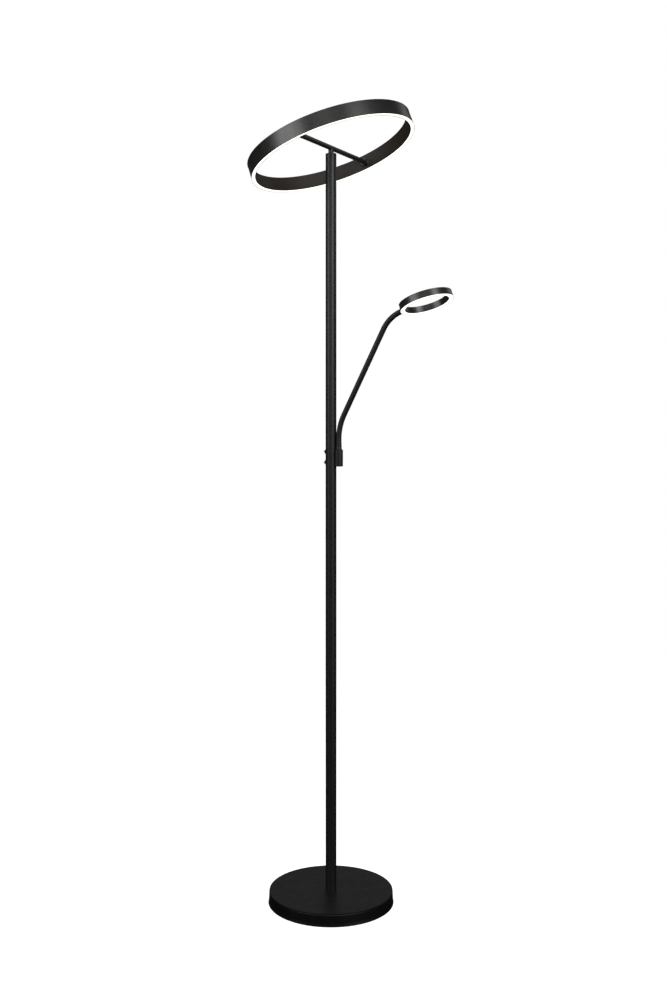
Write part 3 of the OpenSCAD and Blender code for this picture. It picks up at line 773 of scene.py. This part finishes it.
def make_gland():
    """Ribbed rubber grommet in the rear of the base."""
    low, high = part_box("cord_gland")
    middle = (low.z + high.z) / 2
    flange_r = (high.x - low.x) / 2
    bore_r, neck_r = 2.9 * MM, 4 * MM
    proud = high.y
    wall = BASE_R - 0.1 * MM
    inside = wall - 3 * MM
    corners = [
        (bore_r, inside, 0.3 * MM), (neck_r, inside, 0.3 * MM), (neck_r, wall, 0.1 * MM),
        (flange_r, wall, 0.15 * MM), (flange_r, wall + 0.9 * MM, 0.5 * MM),
        (4.3 * MM, wall + 1.2 * MM, 0.2 * MM), (3.9 * MM, proud, 0.3 * MM), (bore_r, proud, 0.3 * MM),
    ]
    matrix = Matrix.Translation((0, 0, middle)) @ ALONG_Y
    place(lathe("gland_grommet", corners, matrix), "stand", "grommet", "cord_gland")


# ---- Pole, neck and crossbar ----

def make_pole():
    """Three tubes that butt at hairline seams, and the flat cap."""
    for part in ("lower", "middle", "upper"):
        low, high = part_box("pole_" + part)
        seam = 0.2 * MM
        tube = lathe("pole_tube_" + part, [
            (POLE_BORE_R, low.z, 0), (POLE_R, low.z, seam), (POLE_R, high.z, seam), (POLE_BORE_R, high.z, 0),
        ], segments=128, steps=3)
        place(tube, "stand", "pole_paint", "pole_" + part)
    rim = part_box("pole_upper")[1].z
    cap = turned("pole_cap", [(POLE_R, rim, 0.15 * MM), (POLE_R, POLE_TOP, 1.0 * MM)], segments=128)
    place(cap, "stand", "pole_paint", "pole_top_cap")


def make_neck():
    """Neck with a small fillet at its foot, notched for the crossbar that lies in it."""
    neck = turned("neck_post", [
        (NECK_R + 0.8 * MM, POLE_TOP - 0.2 * MM, 0), (NECK_R + 0.8 * MM, POLE_TOP + 0.2 * MM, 0.15 * MM),
        (NECK_R, POLE_TOP + 1 * MM, 0.8 * MM), (NECK_R, PIVOT.z, 0.3 * MM),
    ])
    along = Matrix.Translation(PIVOT) @ ALONG_Y
    notch = plain_rod("notch", CROSSBAR_R, -2 * NECK_R, 2 * NECK_R, along)
    neck.modifiers.clear()
    neck = combined(neck, notch, "DIFFERENCE")
    place(softened(neck, 0.25 * MM, 2), "stand", "pole_paint", "neck_stem")
    # The neck and crossbar take the paler coat that paints light onto them.
    neck.data.materials[0] = BAR_COAT_WITH_PAINTED_LIGHT
    rod = turned("crossbar_rod", [
        (CROSSBAR_R, -CROSSBAR_END, 0.4 * MM), (CROSSBAR_R, CROSSBAR_END, 0.4 * MM),
    ], along)
    place(rod, "stand", "pole_paint", "crossbar")
    rod.data.materials[0] = BAR_COAT_WITH_PAINTED_LIGHT


def make_pivot_washers():
    """Two washers on the crossbar's ends, as one group."""
    low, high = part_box("friction_washers")
    thick = high.y - CROSSBAR_END
    outer = high.x
    both = []
    for side, name in ((1, "far"), (-1, "near")):
        turn = ALONG_Y if side > 0 else ALONG_Y.inverted()
        matrix = Matrix.Translation(PIVOT) @ turn
        corners = [
            (PIN_BORE_R, CROSSBAR_END, 0.1 * MM), (outer, CROSSBAR_END, 0.25 * MM),
            (outer, CROSSBAR_END + thick, 0.25 * MM), (PIN_BORE_R, CROSSBAR_END + thick, 0.1 * MM),
        ]
        both.append(lathe("pivot_washer_" + name, corners, matrix, segments=64))
    place(both[0], "stand", "nylon", "friction_washers")
    place(both[1], "stand", "nylon")


# ---- Rings ----

def ring_outline(outer_r, width, height, edge, channel_z):
    """Rolled profile: rounded outer edges, and a channel in its underside for the lit face."""
    inner_r = outer_r - width
    low, high = -height / 2, height / 2
    lip = RING_WALL
    return [
        (inner_r, low, 0.3 * MM), (inner_r, high, edge), (outer_r, high, edge), (outer_r, low, 0.3 * MM),
        (outer_r - lip, low, 0.3 * MM), (outer_r - lip, channel_z, 0.2 * MM),
        (inner_r + lip, channel_z, 0.2 * MM), (inner_r + lip, low, 0.3 * MM),
    ]


def face_outline(outer_r, width, height, thick):
    """Lit face between the profile's lips, slightly crowned."""
    slip = 0.05 * MM
    inner_r = outer_r - width
    a, b = inner_r + RING_WALL + slip, outer_r - RING_WALL - slip
    low = -height / 2 + FACE_RECESS
    shoulder = 0.5 * MM
    return [
        (a, low + thick, 0.1 * MM), (a, low + shoulder, 0.3 * MM), (a + 2 * shoulder, low - FACE_RECESS, MM),
        (b - 2 * shoulder, low - FACE_RECESS, MM), (b, low + shoulder, 0.3 * MM), (b, low + thick, 0.1 * MM),
    ]


def make_ring(name, matrix, outer_r, width, height, body, housing, face, segments, centre=None):
    """A ring's housing and its lit face. Around centre, if given, the housing's inner wall is dull and carries a
    painted warm glow spill.
    """
    channel = -height / 2 + 4 * MM
    shell = lathe(name + "_body", ring_outline(outer_r, width, height, SOFT_EDGE, channel), matrix, segments)
    place(shell, body, "ring_paint", housing)
    if centre:
        shell.data.materials[0] = ring_coat(name + "_powder", RING_BLACK, centre)
    glow = lathe(name + "_glow", face_outline(outer_r, width, height, 2 * MM), matrix, segments)
    place(glow, body, "diffuser", face)


def make_hubs():
    """The two bosses on the large ring's inner wall, with a filleted foot each."""
    inner = RING_R - RING_W
    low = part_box("ring_boss_far")[0].y
    for side, name in ((1, "far"), (-1, "near")):
        turn = ALONG_Y if side > 0 else ALONG_Y.inverted()
        corners = [
            (PIN_BORE_R, low, 0.2 * MM), (BOSS_R, low, 0.7 * MM), (BOSS_R, inner - 0.9 * MM, 0.8 * MM),
            (BOSS_R + 0.9 * MM, inner - 0.05 * MM, 0.1 * MM), (BOSS_R + 0.9 * MM, inner + 0.5 * MM, 0),
            (PIN_BORE_R, inner + 0.5 * MM, 0),
        ]
        hub = lathe("ring_hub_" + name, corners, RING_FRAME @ turn, segments=72)
        place(hub, "ring_head", "ring_paint", "ring_boss_" + name)


# ---- Socket, collar and sleeve of the reading arm ----

def make_socket():
    """Turned socket with a bevelled foot, welded to the pole by a short web."""
    low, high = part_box("arm_socket")
    up = Matrix.Translation((SOCKET_X, 0, 0))
    body = plain_rod("socket_body", SOCKET_R, low.z + 1 * MM, high.z, up)
    foot = [(0, low.z), (SOCKET_R - 1 * MM, low.z), (SOCKET_R, low.z + 1 * MM), (0, low.z + 1 * MM)]
    body = combined(body, finished(lathe_mesh(foot, 96, closed=False), "foot", up), "UNION")
    half_web = 5 * MM
    web = block("web", (POLE_R - 1 * MM, -half_web, low.z + 2 * MM), (SOCKET_X, half_web, high.z - 4 * MM))
    body = combined(body, web, "UNION")
    body = combined(body, plain_rod("pole", POLE_R, 0, 2 * high.z), "DIFFERENCE")
    place(softened(body, 0.35 * MM), "stand", "arm_paint", "arm_socket")


def make_collar():
    """Swivel washer, and the collar that flares down onto it and carries the sleeve."""
    up = Matrix.Translation((SOCKET_X, 0, 0))
    low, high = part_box("swivel_washer")
    washer = turned("swivel_ring", [(high.y, low.z, 0.15 * MM), (high.y, high.z, 0.15 * MM)], up)
    place(washer, "stand", "nylon", "swivel_washer")
    slip = 0.05 * MM
    foot = high.z + slip
    flare = 5 * MM
    shoulder = 20 * MM
    collar = turned("arm_collar_body", [
        (COLLAR_R - slip, foot, 0.3 * MM), (COLLAR_R - slip, foot + 1 * MM, 0.5 * MM),
        (ARM_R + 0.4 * MM, foot + flare, 3 * MM), (ARM_R, foot + shoulder, 6 * MM),
        (ARM_R, ARM_START.z, 0.3 * MM),
    ], up)
    place(collar, "arm_base", "arm_paint", "arm_collar")


def make_sleeve():
    """The sleeve in six lengths, each spanning one joint, within a reach to each side of it."""
    link = RUN_LENGTH / 4
    half_bend = UPPER_LENGTH / 2
    run_end = LOWER_LENGTH + RUN_LENGTH
    joints = [LOWER_LENGTH + i * link for i in range(5)] + [run_end + half_bend]
    ends = [LOWER_LENGTH + (i + 0.5) * link for i in range(4)] + [run_end + half_bend / 2]
    into_reader = 0.8 * MM
    ends = [0, *ends, ARM_LENGTH + into_reader]
    stands_for = [["arm_link_%d" % i] for i in range(1, 6)] + [["arm_link_6", "arm_link_7"]]
    for i, joint in enumerate(joints):
        length = ends[i + 1] - ends[i]
        piece = swept("sleeve_%d" % (i + 1), ends[i], ends[i + 1], rings=round(length / (1.5 * MM)))
        dress(piece, "sleeve")
        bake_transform(piece)
        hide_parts(*stands_for[i])


# ---- Switches ----

def make_switch_nuts():
    """One chamfered nut on each switch's bushing."""
    low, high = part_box("switch_nuts")
    corner_r = 6 * MM
    bore_r = 3.02 * MM
    for name, joint in (("upper", "switch_upper_throw"), ("lower", "switch_lower_throw")):
        matrix = Matrix.Translation((-POLE_R + 0.1 * MM, 0, JOINTS[joint].z)) @ ALONG_X.inverted()
        nut = hex_nut("switch_nut_" + name, corner_r, bore_r, -POLE_R + 0.1 * MM - low.x, matrix)
        place(nut, "stand", "black_steel", *(["switch_nuts"] if name == "upper" else []))


def make_lever(name, joint, throw):
    """Short lever: a ball in the bushing, a full root and a round tip."""
    ball_r, root_r, tip_r, reach = 2.3 * MM, 2.0 * MM, 1.5 * MM, 3.0 * MM
    outline = []
    steps = 14
    neck_angle = math.asin(root_r / ball_r)
    for k in range(steps + 1):
        angle = math.pi - (math.pi - neck_angle) * k / steps
        outline.append((ball_r * math.sin(angle), ball_r * math.cos(angle)))
    start = outline[-1][1]
    for k in range(1, steps):
        t = k / steps
        swell = t * t * (3 - 2 * t)
        outline.append((root_r + (tip_r - root_r) * swell, start + (reach - start) * t))
    for k in range(steps + 1):
        angle = math.pi / 2 * (1 - k / steps)
        outline.append((tip_r * math.sin(angle), reach + tip_r * math.cos(angle)))
    outline[0] = (0, -ball_r)
    outline[-1] = (0, reach + tip_r)
    matrix = Matrix.Translation(JOINTS[joint]) @ Matrix.Rotation(throw - math.pi / 2, 4, "Y")
    lever = finished(lathe_mesh(outline, 48, closed=False), "toggle_" + name, matrix)
    place(lever, "lever_" + name, "black_steel", "switch_lever_" + name)


def make_switches():
    make_switch_nuts()
    make_lever("upper", "switch_upper_throw", LEVER_THROW)
    make_lever("lower", "switch_lower_throw", -LEVER_THROW)


# ---- The whole lamp ----

def make_lamp():
    make_base()
    make_gland()
    make_pole()
    make_neck()
    make_pivot_washers()
    make_ring("ring", RING_FRAME, RING_R, RING_W, RING_H,
              "ring_head", "ring_housing", "ring_diffuser", 288, PIVOT)
    make_hubs()
    make_socket()
    make_collar()
    make_sleeve()
    make_ring("reader", READER_FRAME, READER_R, READER_W, READER_H,
              "reader_head", "reader_housing", "reader_diffuser", 192)
    make_switches()


bpy.context.scene.view_settings.view_transform = "Standard"
make_camera()
make_world()
make_lights()
make_floor()
dress_cad_nodes()
make_lamp()
